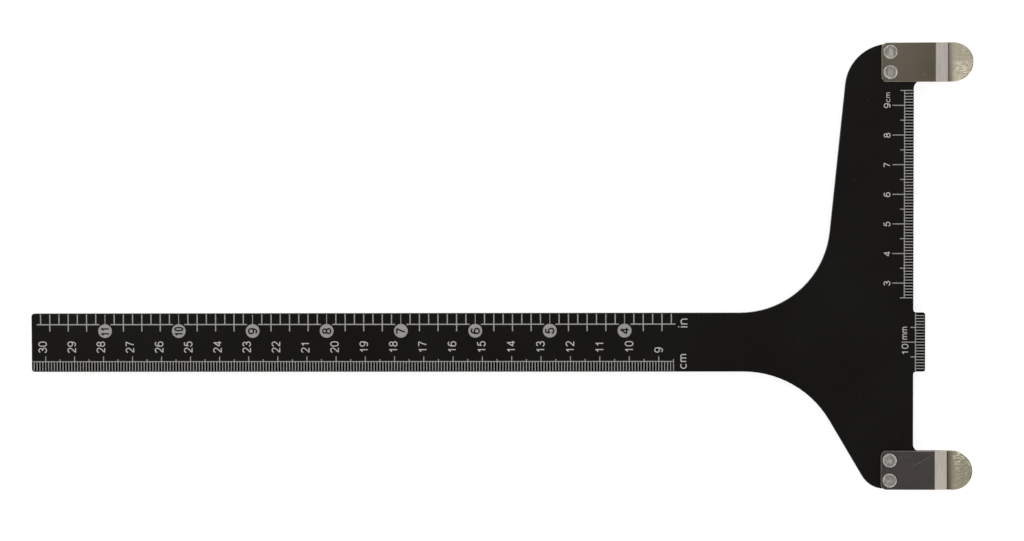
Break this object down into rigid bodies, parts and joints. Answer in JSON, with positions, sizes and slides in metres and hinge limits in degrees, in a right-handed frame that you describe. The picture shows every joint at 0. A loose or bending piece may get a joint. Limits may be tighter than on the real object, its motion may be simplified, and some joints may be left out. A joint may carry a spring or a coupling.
{
  "type": "bow square",
  "caption": "Flat T-shaped archery square with engraved scales on a long ruler and a string head, and riveted spring clips that snap onto a bow string.",
  "frame": {"origin": "where the ruler's centre line meets the string edge, halfway through the plate", "axes": "+X out of the string edge towards the string, +Y up the head, +Z out of the graduated face"},
  "size_m": [0.3204, 0.1512, 0.0066],
  "materials": {
    "anodised_plate": "satin black anodised",
    "spring_steel": "rolled, lightly brushed",
    "rivet": "matt, lightly dimpled",
    "engraved_mark": "matt grey graduations and numerals"
  },
  "bodies": {
    "root": {"plate": "anodised_plate", "upper_front_strip": "spring_steel", "upper_back_strip": "spring_steel", "lower_front_strip": "spring_steel", "lower_back_strip": "spring_steel", "upper_high_rivet": "rivet", "upper_low_rivet": "rivet", "lower_high_rivet": "rivet", "lower_low_rivet": "rivet"}
  },
  "joints": []
}
